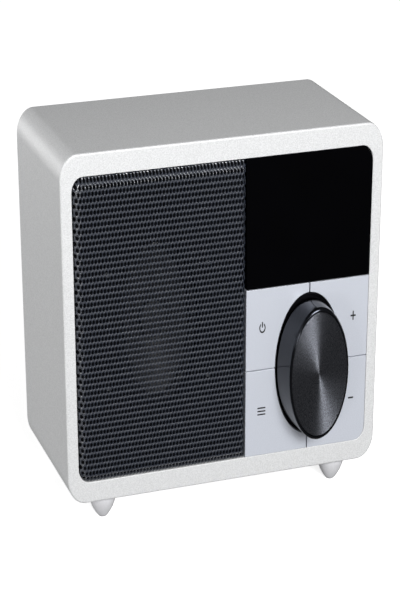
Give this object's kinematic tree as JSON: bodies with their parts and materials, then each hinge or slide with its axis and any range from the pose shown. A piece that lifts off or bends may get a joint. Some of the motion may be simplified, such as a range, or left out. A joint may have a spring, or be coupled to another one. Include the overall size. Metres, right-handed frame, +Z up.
{
  "type": "table radio",
  "caption": "Small upright table radio on tapered feet: silver cabinet, black perforated grille over an oval loudspeaker, dark display, corner keys round a tall knob, folding aerial.",
  "frame": {"origin": "middle of the bounding box's underside, on the surface the feet stand on", "axes": "+Z up; -Y is the front with the grille and knob; +X is to the right as seen from the front"},
  "size_m": [0.115, 0.072, 0.1374],
  "materials": {
    "silver_paint": "satin metallic silver paint with a fine grain",
    "key_silver": "satin silver",
    "grille_steel": "black, perforated with fine round holes",
    "black_plastic": "matt black",
    "gloss_black": "deep gloss black",
    "chrome": "polished",
    "spun_metal": "dark spun finish",
    "steel": "plain",
    "paper": "black felted paper",
    "rubber": "matt black",
    "foot_white": "satin white",
    "board": "green solder mask",
    "ferrite": "dark grey",
    "copper": "enamelled copper",
    "lcd": "dark display glass"
  },
  "bodies": {
    "radio": {"amplifier_chip": "black_plastic", "board_rail_left": "black_plastic", "board_rail_right": "black_plastic", "cabinet_shell": "silver_paint", "capacitor": "ferrite", "control_board": "board", "display_frame": "black_plastic", "display_panel": "lcd", "display_window": "gloss_black", "encoder_body": "steel", "foot_front_left": "foot_white", "foot_front_right": "foot_white", "foot_rear_left": "foot_white", "foot_rear_right": "foot_white", "front_baffle": "black_plastic", "headphone_socket": "black_plastic", "knob_well": "gloss_black", "main_board": "board", "power_socket": "black_plastic", "rear_cover": "black_plastic", "rear_screw_1": "steel", "rear_screw_2": "steel", "rear_screw_3": "steel", "rear_screw_4": "steel", "speaker_basket": "steel", "speaker_gasket": "rubber", "speaker_grille": "grille_steel", "speaker_magnet": "ferrite", "speaker_screw_1": "steel", "speaker_screw_2": "steel", "speaker_screw_3": "steel", "speaker_screw_4": "steel", "speaker_surround": "rubber", "switch_minus": "black_plastic", "switch_mode": "black_plastic", "switch_plus": "black_plastic", "switch_power": "black_plastic", "terminal_plate": "gloss_black", "tuner_module": "steel"},
    "power_key": {"key_power": "key_silver"},
    "mode_key": {"key_mode": "key_silver"},
    "plus_key": {"key_plus": "key_silver"},
    "minus_key": {"key_minus": "key_silver"},
    "knob_spindle": {"knob_shaft": "steel"},
    "knob": {"knob_skirt": "chrome", "knob_face": "spun_metal", "knob_hub": "black_plastic"},
    "cone_assembly": {"speaker_cone": "paper", "dust_cap": "paper", "voice_coil": "copper"},
    "antenna_swivel_base": {"antenna_base": "black_plastic"},
    "antenna_arm": {"antenna_tube_outer": "chrome", "antenna_pin": "steel"},
    "antenna_middle": {"antenna_tube_middle": "chrome"},
    "antenna_end": {"antenna_rod": "chrome", "antenna_tip": "chrome"}
  },
  "joints": [
    {"name": "power_press", "type": "slide", "parent": "radio", "child": "power_key", "axis": [0, 1, 0], "range_m": [0, 0.0007], "stiffness_N_per_m": 400},
    {"name": "mode_press", "type": "slide", "parent": "radio", "child": "mode_key", "axis": [0, 1, 0], "range_m": [0, 0.0007], "stiffness_N_per_m": 400},
    {"name": "plus_press", "type": "slide", "parent": "radio", "child": "plus_key", "axis": [0, 1, 0], "range_m": [0, 0.0007], "stiffness_N_per_m": 400},
    {"name": "minus_press", "type": "slide", "parent": "radio", "child": "minus_key", "axis": [0, 1, 0], "range_m": [0, 0.0007], "stiffness_N_per_m": 400},
    {"name": "knob_jog", "type": "hinge", "parent": "radio", "child": "knob_spindle", "pos_m": [0.031, -0.0247, 0.0511], "axis": [0, 1, 0], "range_deg": [-30, 30], "stiffness_Nm_per_rad": 0.05},
    {"name": "knob_press", "type": "slide", "parent": "knob_spindle", "child": "knob", "axis": [0, 1, 0], "range_m": [0, 0.00045], "stiffness_N_per_m": 800},
    {"name": "cone_travel", "type": "slide", "parent": "radio", "child": "cone_assembly", "axis": [0, 1, 0], "range_m": [-0.001, 0.001], "stiffness_N_per_m": 1500},
    {"name": "antenna_swivel", "type": "hinge", "parent": "radio", "child": "antenna_swivel_base", "pos_m": [0.042, 0.0302, 0.129], "axis": [0, 1, 0], "range_deg": [0, 180]},
    {"name": "antenna_tilt", "type": "hinge", "parent": "antenna_swivel_base", "child": "antenna_arm", "pos_m": [0.042, 0.0341, 0.129], "axis": [0, 0, -1], "range_deg": [0, 90]},
    {"name": "antenna_extend_1", "type": "slide", "parent": "antenna_arm", "child": "antenna_middle", "axis": [-1, 0, 0], "range_m": [0, 0.06]},
    {"name": "antenna_extend_2", "type": "slide", "parent": "antenna_middle", "child": "antenna_end", "axis": [-1, 0, 0], "range_m": [0, 0.06]}
  ]
}
